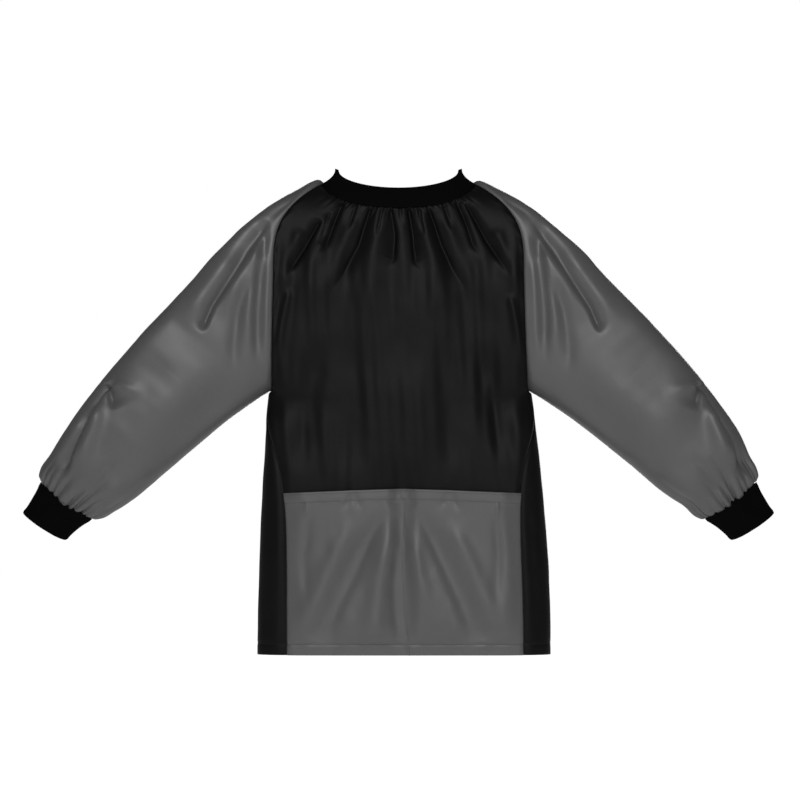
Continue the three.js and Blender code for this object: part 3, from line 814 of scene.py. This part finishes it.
def collarBand(first, last, depth):
    # the band from one angle to the other: 0 at the right neck point, 90 in front, 270 behind
    turn = np.radians(np.linspace(first, last, 1441))
    reach = np.where(np.sin(turn) > 0, body["collarDepth"], depth)
    dense = np.stack([neckHalf * np.cos(turn), -reach * np.sin(turn)], -1)
    run = np.concatenate([[0], np.cumsum(np.linalg.norm(np.diff(dense, axis=0), axis=1))])
    count = int(round(run[-1] / rib["pitch"])) * rib["columns"] + 1
    even = np.linspace(0, run[-1], count)
    t = np.interp(even, run, turn)[:, None]
    v = np.linspace(0, 1, collar["rows"])[None]
    sideways = np.abs(np.cos(t)) ** 6
    lean = mix(collar["lean"], -collar["hollow"], sideways) * np.sin(v * math.pi) + 0.0022 * (1 - v) ** 2
    half = mix(neckHalf, collar["topHalf"], v) + lean
    deep = np.where(np.sin(t) > 0, body["collarDepth"], depth) - collar["topStep"] * v + lean
    x = half * np.cos(t)
    y = -deep * np.sin(t)
    low = body["neckDrop"] + collar["cover"]
    z = collarTopZ * v - mix(low, collar["topDrop"], v) * np.abs(np.sin(t))
    z -= collar["cover"] * (1 - v) * sideways
    z += 0.0022 * np.abs(np.cos(t)) ** 200 * v ** 3
    x += 0.0012 * np.sign(np.cos(t)) * np.abs(np.cos(t)) ** 60 * v ** 6
    points = np.stack([x, y, z], -1)
    normal = gridNormals(points)
    edge = np.minimum(v, 1 - v)
    height = ribHeight(even[:, None]) * smooth(0, 0.10, edge)
    height -= 0.0007 * (1 - smooth(0, 0.12, edge))
    height += 0.0003 * waves(even[:, None] * np.ones_like(v), v * 0.02 * np.ones_like(t), 31, 0.03)
    # the folded rib is thickest where it turns over the neck points
    thick = rib["thick"] + collar["knob"] * np.abs(np.cos(t)) ** 90 * v ** 2
    return points + normal * height[..., None], points - normal * thick[..., None]


cuff = {
    "rows": 34, "pitch": 0.0020, "girth": 0.225,
    # its corners, outwards and up: at the sleeve, and at the hand
    "sleeveEnd": [(0.4858, -0.4035), (0.4138, -0.4555)],
    "handEnd": [(0.5075, -0.4455), (0.4505, -0.4825)],
    "height": 0.0006,         # of its ribs
    "bulge": 0.002,           # how full the band is in front and behind
    "hollow": 0.0022,         # how far its sides curve in
    "flare": 0.0012,          # how far its folded edge stands out
}


def cuffBand(mirror):
    topIn, bottomIn = np.array(cuff["sleeveEnd"])
    topOut, bottomOut = np.array(cuff["handEnd"])
    ribs = round(cuff["girth"] / cuff["pitch"])
    count = ribs * rib["columns"]
    turn = np.linspace(0, 2 * math.pi, count, endpoint=False)[:, None]
    v = np.linspace(0, 1, cuff["rows"])[None]
    across = np.cos(turn)
    inner = mix(topIn, bottomIn, ((1 - across) / 2)[..., None])
    outer = mix(topOut, bottomOut, ((1 - across) / 2)[..., None])
    # both ends bow a little, as a band seen from the front does
    along = (outer - inner) / np.linalg.norm(outer - inner, axis=2, keepdims=True)
    inner = inner - along * (0.001 * np.sin(np.arccos(across))[..., None])
    outer = outer + along * (-0.0012 + 0.0042 * np.sin(np.arccos(across))[..., None])
    flat = mix(inner, outer, v[..., None])
    middle = mix((topIn + bottomIn) / 2, (topOut + bottomOut) / 2, v[..., None])
    width = mix(np.linalg.norm(topIn - bottomIn), np.linalg.norm(topOut - bottomOut), v) / 2
    pull = -cuff["hollow"] * np.sin(v ** 0.9 * math.pi) + cuff["flare"] * np.exp(-((1 - v) / 0.12) ** 2)
    flat = middle + (flat - middle) * (1 + pull / width)[..., None]
    depth = mix(sleeve["wristDepth"] - 0.0025, 0.019, v) + cuff["bulge"] * np.sin(v * math.pi)
    y = -np.sign(np.sin(turn)) * depth * oval(across * np.ones_like(v), 2.2)
    points = np.stack([flat[..., 0], y, flat[..., 1]], -1)
    normal = gridNormals(points, closed=True)
    edge = np.minimum(v, 1 - v)
    share = turn / (2 * math.pi) * ribs
    wave = np.abs(np.sin(share * math.pi))
    height = cuff["height"] * (wave ** 0.6 - 1) * smooth(0, 0.05, edge)
    height -= 0.0012 * (1 - smooth(0, 0.10, v)) + 0.0009 * (1 - smooth(0, 0.08, 1 - v))
    px, pz = points[..., 0], points[..., 2]
    height += 0.0010 * waves(px + 0.4 * points[..., 1], pz, 41, 0.035, 1.5, 0.9)
    faces = [points + normal * height[..., None], points - normal * rib["thick"]]
    if mirror:
        faces = [face[::-1] * np.array([-1, 1, 1]) for face in faces]
    return faces


# materials: colour, roughness, and what each kind of cloth needs besides
finishes = {
    "greyCloth": {
        "colour": (0.083, 0.083, 0.085), "roughness": 0.39, "gloss": 0.47, "sheen": 0.02,
        "pitch": 0.0007, "grain": 0.04,
    },
    "blackCloth": {
        "colour": (0.0036, 0.0036, 0.0038), "roughness": 0.46, "gloss": 0.105, "sheen": 0.0,
        "pitch": 0.0007, "grain": 0.10,
    },
    "ribKnit": {"colour": (0.0019, 0.0019, 0.0021)},
    "loopTape": {"colour": (0.010, 0.010, 0.010), "roughness": 0.95, "sheen": 0.3},
    "hookTape": {"colour": (0.012, 0.012, 0.012), "roughness": 0.5},
    "labelSatin": {"colour": (0.62, 0.62, 0.60), "roughness": 0.4, "sheen": 0.2},
    "greyThread": {"colour": (0.060, 0.060, 0.061), "roughness": 0.6},
    "blackThread": {"colour": (0.006, 0.006, 0.006), "roughness": 0.6},
}


def fill(node, values):
    for key, value in values.items():
        node.inputs[key].default_value = value


class Nodes:
    def __init__(self, name):
        self.material = bpy.data.materials.new(name)
        self.material.use_nodes = True
        self.tree = self.material.node_tree
        self.shader = self.tree.nodes["Principled BSDF"]

    def add(self, kind, wires=None, values=None, **settings):
        node = self.tree.nodes.new(kind)
        for key, value in settings.items():
            setattr(node, key, value)
        fill(node, values or {})
        for key, socket in (wires or {}).items():
            self.tree.links.new(socket, node.inputs[key])
        return node

    def wire(self, key, socket):
        self.tree.links.new(socket, self.shader.inputs[key])

    def scaled(self, socket, factor):
        return self.add("ShaderNodeMath", {0: socket}, {1: factor}, operation="MULTIPLY").outputs[0]

    def cloth(self, scale=(1, 1, 1)):
        # the cloth's own flat coordinates, scaled
        uv = self.add("ShaderNodeUVMap", uv_map="cloth")
        return self.add("ShaderNodeMapping", {"Vector": uv.outputs[0]}, {"Scale": scale}).outputs[0]

    def noise(self, vector, scale, detail=2.0):
        values = {"Scale": scale, "Detail": detail, "Roughness": 0.5}
        return self.add("ShaderNodeTexNoise", {"Vector": vector}, values).outputs["Fac"]

    def spread(self, socket, values):
        return self.add("ShaderNodeMapRange", {"Value": socket}, values).outputs[0]

    def shade(self, colour, socket):
        return self.add("ShaderNodeVectorMath", {"Scale": socket}, {0: colour}, operation="SCALE").outputs[0]

    def bump(self, height, strength, distance):
        return self.add("ShaderNodeBump", {"Height": height}, {"Strength": strength, "Distance": distance})

    def weave(self, pitch):
        # over-and-under threads
        wave = []
        for direction in ("X", "Y"):
            values = {"Scale": 0.314159 / pitch, "Distortion": 0.4}
            node = self.add("ShaderNodeTexWave", {"Vector": self.cloth()}, values, bands_direction=direction)
            wave.append(node.outputs["Fac"])
        return self.add("ShaderNodeMath", {0: wave[0], 1: wave[1]}, operation="MULTIPLY").outputs[0]


def tinted(colour, amount):
    return tuple(c * amount for c in colour) + (1,)


def wovenCloth(name, colour, roughness, gloss, sheen, pitch, grain):
    made = Nodes(name)
    broad = made.noise(made.cloth(), 9.0, 3.0)
    fine = made.noise(made.cloth((1, 0.25, 1)), 260.0)
    parts = {0: made.scaled(broad, 0.7), 1: made.scaled(fine, 0.3)}
    both = made.add("ShaderNodeMath", parts, operation="ADD").outputs[0]
    share = made.spread(both, {"From Min": 0.3, "From Max": 0.7})
    tones = {6: tinted(colour, 1 - grain), 7: tinted(colour, 1 + grain)}
    blend = made.add("ShaderNodeMix", values=tones, data_type="RGBA")
    made.tree.links.new(share, blend.inputs["Factor"])
    made.wire("Base Color", blend.outputs[2])
    fill(made.shader, {"Sheen Weight": sheen, "Sheen Roughness": 0.45, "Specular IOR Level": gloss})
    made.wire("Roughness", made.spread(broad, {"To Min": roughness - 0.05, "To Max": roughness + 0.06}))
    threads = made.bump(made.weave(pitch), 0.10, 0.00008)
    crinkle = made.bump(made.noise(made.cloth((1, 0.7, 1)), 45.0), 0.35, 0.0006)
    made.tree.links.new(threads.outputs[0], crinkle.inputs["Normal"])
    made.wire("Normal", crinkle.outputs[0])
    return made.material


def ribCloth(name, colour):
    made = Nodes(name)
    fuzz = made.noise(made.cloth((1, 0.4, 1)), 900.0, 3.0)
    made.wire("Base Color", made.shade(colour, made.spread(fuzz, {"To Min": 0.75, "To Max": 1.35})))
    fill(made.shader, {"Roughness": 0.95, "Specular IOR Level": 0.04})
    fill(made.shader, {"Sheen Weight": 0.004, "Sheen Roughness": 0.6})
    made.wire("Normal", made.bump(fuzz, 0.5, 0.0003).outputs[0])
    return made.material


def plainCloth(name, colour, roughness, sheen=0.0):
    made = Nodes(name)
    speck = made.noise(made.add("ShaderNodeTexCoord").outputs["Object"], 600.0)
    made.wire("Base Color", made.shade(colour, made.spread(speck, {"To Min": 0.85, "To Max": 1.15})))
    fill(made.shader, {"Roughness": roughness, "Sheen Weight": sheen})
    return made.material


greyCloth = wovenCloth("greyCloth", **finishes["greyCloth"])
blackCloth = wovenCloth("blackCloth", **finishes["blackCloth"])
ribKnit = ribCloth("ribKnit", **finishes["ribKnit"])
loopTape = plainCloth("loopTape", **finishes["loopTape"])
hookTape = plainCloth("hookTape", **finishes["hookTape"])
labelSatin = plainCloth("labelSatin", **finishes["labelSatin"])
greyThread = plainCloth("greyThread", **finishes["greyThread"])
blackThread = plainCloth("blackThread", **finishes["blackThread"])
print("materials ready")


def finishPiece(piece, material, nodes):
    piece.data.materials.append(material)
    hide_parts(*nodes)
    return piece


def bendBack(piece):
    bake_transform(piece)


# stitching and tape texture: one small grain repeated along lines
stitch = {"pitch": 0.0030, "length": 0.0024, "radius": 0.00028, "over": 0.0003, "sides": 6}
tapeGrain = {
    "pitch": 0.0011, "row": 0.0011, "length": 0.0007, "radius": 0.00022,
    "margin": 0.0022, "endMargin": 0.0018,
}


def grainTree():
    tree = bpy.data.node_groups.new("grainsAlongLines", "GeometryNodeTree")
    face = tree.interface
    face.new_socket("Geometry", in_out="INPUT", socket_type="NodeSocketGeometry")
    for name in ("Pitch", "Length", "Radius"):
        face.new_socket(name, in_out="INPUT", socket_type="NodeSocketFloat")
    face.new_socket("Material", in_out="INPUT", socket_type="NodeSocketMaterial")
    face.new_socket("Geometry", in_out="OUTPUT", socket_type="NodeSocketGeometry")
    kinds = {
        "given": "NodeGroupInput", "made": "NodeGroupOutput", "grain": "GeometryNodeMeshUVSphere",
        "line": "GeometryNodeMeshToCurve", "even": "GeometryNodeResampleCurve",
        "tangent": "GeometryNodeInputTangent", "turn": "FunctionNodeAlignRotationToVector",
        "half": "ShaderNodeMath", "size": "ShaderNodeCombineXYZ", "place": "GeometryNodeInstanceOnPoints",
        "real": "GeometryNodeRealizeInstances", "paint": "GeometryNodeSetMaterial",
    }
    node = {key: tree.nodes.new(kind) for key, kind in kinds.items()}
    node["even"].mode = "LENGTH"
    node["turn"].axis = "Z"
    node["half"].operation = "MULTIPLY"
    fill(node["half"], {1: 0.5})
    fill(node["grain"], {"Segments": stitch["sides"], "Rings": 4, "Radius": 1.0})
    wires = [
        ("given", "Geometry", "line", "Mesh"), ("line", 0, "even", "Curve"),
        ("given", "Pitch", "even", "Length"),
        ("even", 0, "place", "Points"), ("grain", "Mesh", "place", "Instance"),
        ("tangent", 0, "turn", "Vector"), ("turn", 0, "place", "Rotation"),
        ("given", "Length", "half", 0), ("half", 0, "size", "Z"),
        ("given", "Radius", "size", "X"), ("given", "Radius", "size", "Y"), ("size", 0, "place", "Scale"),
        ("place", 0, "real", 0), ("real", 0, "paint", "Geometry"),
        ("given", "Material", "paint", "Material"), ("paint", 0, "made", "Geometry"),
    ]
    for start, output, end, entry in wires:
        tree.links.new(node[start].outputs[output], node[end].inputs[entry])
    return tree


grains = grainTree()


def grainsAlong(name, lines, material, size=stitch):
    # grains along the lines, as one plain mesh
    verts = np.concatenate(lines)
    edges, start = [], 0
    for line in lines:
        edges += [(start + k, start + k + 1) for k in range(len(line) - 1)]
        start += len(line)
    mesh = bpy.data.meshes.new(name + "Lines")
    mesh.from_pydata(verts.tolist(), edges, [])
    source = addObject(name + "Lines", mesh)
    modifier = source.modifiers.new("grains", "NODES")
    modifier.node_group = grains
    values = {key.capitalize(): size[key] for key in ("pitch", "length", "radius")}
    values["Material"] = material
    for item in grains.interface.items_tree:
        if item.in_out == "INPUT" and item.name in values:
            modifier[item.identifier] = values[item.name]
    bpy.context.view_layer.update()
    result = bpy.data.meshes.new_from_object(source.evaluated_get(bpy.context.evaluated_depsgraph_get()))
    bpy.data.objects.remove(source)
    return addObject(name, result)


def surfaceLine(points, side, distance):
    # a line just over the cloth, at a distance from one of its sides: top, bottom, first or last
    normal = gridNormals(points)
    if side in ("first", "last"):
        points, normal = points.swapaxes(0, 1), normal.swapaxes(0, 1)
    if side in ("top", "last"):
        points, normal = points[:, ::-1], normal[:, ::-1]
    along = lengthsAlong(points)
    a = np.linspace(0, 1, points.shape[0])
    index = np.linspace(0, 1, points.shape[1])
    columns = np.clip((a * (points.shape[0] - 1)).astype(int), 0, points.shape[0] - 1)
    b = np.array([np.interp(distance, along[c], index) for c in columns])
    return sampleGrid(points, a, b) + sampleGrid(normal, a, b) * stitch["over"]


def slab(name, low, high, corner):
    # a flat tape with rounded corners
    verts, faces = [], []
    turns = 6
    halfX, halfZ = (high.x - low.x) / 2, (high.z - low.z) / 2
    midX, midZ = (high.x + low.x) / 2, (high.z + low.z) / 2
    ring = []
    for k in range(4):
        for t in range(turns + 1):
            angle = math.pi / 2 * (k + t / turns)
            sx = 1 if k in (0, 3) else -1
            sz = 1 if k in (0, 1) else -1
            ring.append((midX + sx * (halfX - corner) + corner * math.cos(angle),
                         midZ + sz * (halfZ - corner) + corner * math.sin(angle)))
    count = len(ring)
    for y, inset in ((low.y, 0.0003), (low.y + 0.0003, 0), (high.y - 0.0003, 0), (high.y, 0.0003)):
        for x, z in ring:
            verts.append((x - inset * np.sign(x - midX), y, z - inset * np.sign(z - midZ)))
    for layer in range(3):
        for k in range(count):
            a, b = layer * count + k, layer * count + (k + 1) % count
            faces.append((a, b, b + count, a + count))
    faces.append(tuple(range(count))[::-1])
    faces.append(tuple(range(3 * count, 4 * count)))
    mesh = bpy.data.meshes.new(name)
    mesh.from_pydata(verts, [], faces)
    mesh.update()
    return addObject(name, mesh)


frontPoints = makeFront()
frontPanel = clothMesh("frontPanel", frontPoints, body["cloth"])
finishPiece(frontPanel, blackCloth, ["front_panel"])
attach(frontPanel, "torso")
print("front panel ready")

pocketPoints = makePocket(frontPoints)
pocketPanel = clothMesh("pocketPanel", pocketPoints, body["cloth"])
finishPiece(pocketPanel, greyCloth, ["pocket_panel"])
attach(pocketPanel, "torso")
rows = [
    surfaceLine(pocketPoints, "top", 0.003), surfaceLine(pocketPoints, "top", pocket["topHem"] - 0.002),
    surfaceLine(pocketPoints, "bottom", pocket["bottomHem"]),
]
pocketWidth = lengthsAcross(pocketPoints)[-1, 40]
middle = surfaceLine(pocketPoints, "first", pocketWidth / 2)
pocketStitches = grainsAlong("pocketStitches", rows + [middle], greyThread)
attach(pocketStitches, "torso")
print("pocket ready")

for right, side, flap in sides:
    points = makeSleeve(not right, **sleeveSides[right])
    tube = clothMesh("sleeve" + side, points, body["cloth"], closed=True)
    finishPiece(tube, greyCloth, ["shoulder_" + flap, "sleeve_" + flap])
    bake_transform(tube)
    outer, inner = cuffBand(not right)
    band = clothMesh("cuff" + side, outer, rib["thick"], closed=True, inner=inner)
    finishPiece(band, ribKnit, ["cuff_" + flap])
    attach(band, flap + "_sleeve")
    print("sleeve ready:", side)

for right, side, flap in sides:
    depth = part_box("back_flap_" + flap)[1].y
    points = makeBack(not right, depth, 71 if right else 81)
    panel = clothMesh("back" + side, points, body["cloth"])
    finishPiece(panel, blackCloth, ["back_side_" + flap, "back_flap_" + flap])
    bendBack(panel)
    edge = "last" if right else "first"
    rows = [surfaceLine(points, edge, back["edgeHem"]), surfaceLine(points, "bottom", front["hem"])]
    kind, cover = ("hook", hookTape) if right else ("loop", loopTape)
    for place in ("neck", "waist"):
        node = kind + "_tape_" + place
        low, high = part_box(node)
        name = kind + "Tape" + place.capitalize()
        tape = slab(name, low, high, 0.002)
        finishPiece(tape, cover, [node])
        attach(tape, flap + "_flap")
        # the tape's working face: rows of small hooks or loops
        face = low.y if right else high.y
        pile = []
        margin = tapeGrain["margin"]
        for z in np.arange(low.z + margin, high.z - tapeGrain["endMargin"], tapeGrain["row"]):
            pile.append(np.array([(low.x + margin, face, z), (high.x - margin, face, z)]))
        grain = grainsAlong(name + kind.capitalize() + "s", pile, cover, tapeGrain)
        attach(grain, flap + "_flap")
        # the seam that holds it, seen on the flap's outer side
        x = np.array([low.x, high.x, high.x, low.x, low.x])
        z = np.array([low.z, low.z, high.z, high.z, low.z])
        inset = 0.0025
        x = np.where(x == low.x, x + inset, x - inset)
        z = np.where(z == low.z, z + inset, z - inset)
        out = rightBackY + body["cloth"] * 1.2 if right else high.y
        rows.append(np.stack([x, np.full(5, out), z], -1))
    seams = grainsAlong("backStitches" + side, rows, blackThread)
    bendBack(seams)
    print("back ready:", side)

# the care label: a small blank satin strip with a slight curl, on the panel it is sewn to
label = {"columns": 24, "rows": 34, "curl": 0.0012, "thick": 0.0004}
low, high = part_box("care_label")
a = np.linspace(-1, 1, label["columns"])[:, None]
b = np.linspace(0, 1, label["rows"])[None]
labelPoints = np.stack([
    (low.x + high.x) / 2 + (high.x - low.x) / 2 * a * np.ones_like(b),
    low.y + 0.0002 - label["curl"] * (1 - b) ** 2 * (0.4 + 0.6 * a ** 2) + 0.0002 * np.sin(4 * a + 3 * b),
    mix(low.z, high.z, b) * np.ones_like(a),
], -1)
careLabel = clothMesh("careLabel", labelPoints, label["thick"])
finishPiece(careLabel, labelSatin, ["care_label"])
bendBack(careLabel)
top = surfaceLine(labelPoints, "top", 0.002)
labelStitches = grainsAlong("labelStitches", [top], blackThread)
bendBack(labelStitches)

outer, inner = collarBand(0, 180, 0.042)
collarFront = clothMesh("collarFront", outer, rib["thick"], inner=inner)
finishPiece(collarFront, ribKnit, ["collar_front"])
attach(collarFront, "torso")
for right, side, flap in sides:
    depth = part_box("back_flap_" + flap)[1].y
    lap = math.degrees(math.asin(overlapX / neckHalf))
    span = (270 - lap, 360) if right else (180, 270 + lap)
    outer, inner = collarBand(*span, depth)
    band = clothMesh("collarBack" + side, outer, rib["thick"], inner=inner)
    finishPiece(band, ribKnit, ["collar_back_" + flap])
    bendBack(band)
print("collar ready")

# the floor under the smock: near white as the camera sees it, a little darker for the light it gives back
floorPlan = {"half": 14.0, "z": -1.0, "shade": 0.9, "glow": 0.35, "seenGlow": 0.92}
paint = Nodes("floor")
fill(paint.shader, {"Base Color": tinted((floorPlan["shade"],) * 3, 1), "Roughness": 0.9})
fill(paint.shader, {"Emission Color": (1, 1, 1, 1)})
seen = paint.add("ShaderNodeLightPath").outputs["Is Camera Ray"]
glow = paint.spread(seen, {"To Min": floorPlan["glow"], "To Max": floorPlan["seenGlow"]})
paint.wire("Emission Strength", glow)
floorMesh = bpy.data.meshes.new("floor")
half = floorPlan["half"]
corners = [(a * half, b * half, floorPlan["z"]) for a, b in ((-1, -1), (1, -1), (1, 1), (-1, 1))]
floorMesh.from_pydata(corners, [], [(0, 1, 2, 3)])
floor = addObject("floor", floorMesh)
floor.data.materials.append(paint.material)

lightTarget = Vector((0, 0, -0.3))
lights = [
    {"name": "keyLight", "place": (-0.35, -3.8, 1.2), "size": 1.8, "power": 66},
    {"name": "fillLight", "place": (0.8, -3.5, 0.2), "size": 1.6, "power": 13},
    {"name": "backLight", "place": (0.4, 3.9, 0.1), "size": 2.2, "power": 60},
]
for light in lights:
    data = bpy.data.lights.new(light["name"], "AREA")
    data.size = light["size"]
    data.energy = light["power"]
    lamp = addObject(light["name"], data)
    lamp.location = light["place"]
    lamp.rotation_euler = (lightTarget - lamp.location).to_track_quat("-Z", "Y").to_euler()

world = bpy.data.worlds.new("world")
bpy.context.scene.world = world
world.use_nodes = True
sky = world.node_tree
background = sky.nodes["Background"]
background.inputs["Color"].default_value = (0.14, 0.14, 0.142, 1)
white = sky.nodes.new("ShaderNodeBackground")
white.inputs["Color"].default_value = (1, 1, 1, 1)
white.inputs["Strength"].default_value = 1.0
seen = sky.nodes.new("ShaderNodeLightPath")
pick = sky.nodes.new("ShaderNodeMixShader")
sky.links.new(seen.outputs["Is Camera Ray"], pick.inputs[0])
sky.links.new(background.outputs[0], pick.inputs[1])
sky.links.new(white.outputs[0], pick.inputs[2])
sky.links.new(pick.outputs[0], sky.nodes["World Output"].inputs["Surface"])
bpy.context.scene.view_settings.view_transform = "Standard"
